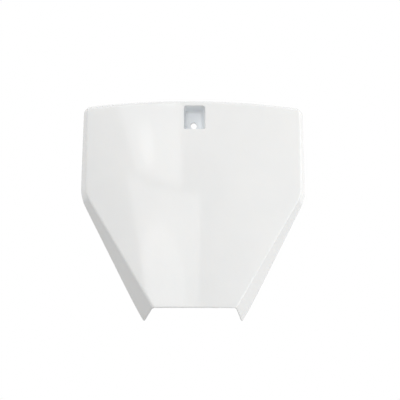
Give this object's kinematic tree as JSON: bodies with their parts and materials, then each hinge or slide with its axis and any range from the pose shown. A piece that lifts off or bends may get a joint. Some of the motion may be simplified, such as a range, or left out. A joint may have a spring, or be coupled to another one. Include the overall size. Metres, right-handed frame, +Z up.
{
  "type": "motorbike front number board",
  "caption": "One-piece moulded front number board with a bowed face, flared skirts, two legs and a sunk pocket for its screw.",
  "frame": {"origin": "where the screw's axis meets the floor of the sunk pocket", "axes": "+X to the right as seen from the front, +Y backward, +Z up; the face looks along -Y"},
  "size_m": [0.2332, 0.0492, 0.2266],
  "materials": {
    "white_plastic": "satin"
  },
  "bodies": {
    "root": {"number_board": "white_plastic"}
  },
  "joints": []
}
